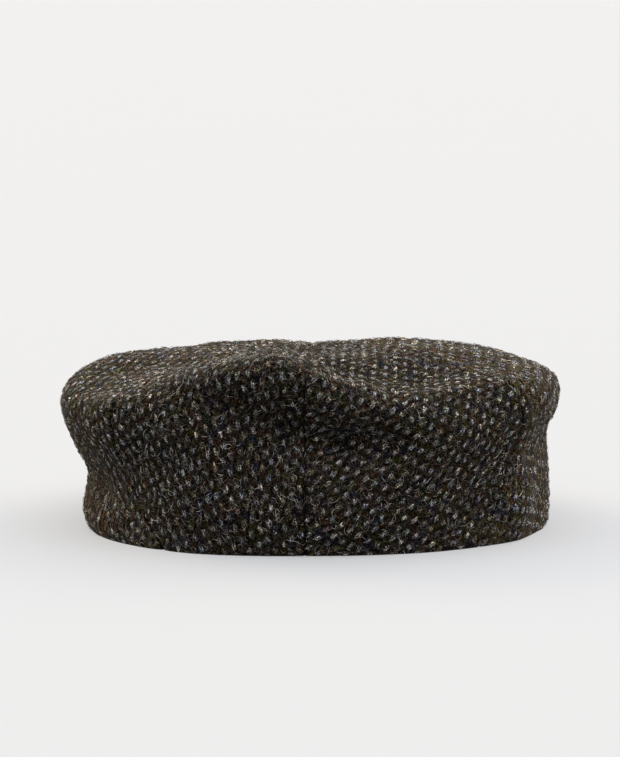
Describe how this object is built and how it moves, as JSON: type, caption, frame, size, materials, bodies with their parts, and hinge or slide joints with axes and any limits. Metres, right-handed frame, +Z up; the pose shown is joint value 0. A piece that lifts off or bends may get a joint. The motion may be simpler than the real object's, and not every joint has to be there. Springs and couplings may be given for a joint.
{
  "type": "flat cap",
  "caption": "Soft tweed flat cap with a panelled crown, slouched over its rim at the back, and a stiff cloth-covered peak in front.",
  "frame": {"origin": "on the floor, under the middle of the cap's outer box", "axes": "+Z up, the back of the cap towards -Y and the peak towards +Y, so +X is the wearer's right side"},
  "size_m": [0.2133, 0.257, 0.081],
  "materials": {
    "tweed": "dark wool tweed, dotted with cream, blue-grey and ochre yarn, fuzzy",
    "peak_tweed": "the same wool tweed drawn smooth over the peak's stiffener"
  },
  "bodies": {
    "root": {"panel_back_right": "tweed", "panel_rear_side_right": "tweed", "panel_front_side_right": "tweed", "panel_front_right": "tweed", "panel_front_left": "tweed", "panel_front_side_left": "tweed", "panel_rear_side_left": "tweed", "panel_back_left": "tweed", "peak": "peak_tweed"}
  },
  "joints": []
}
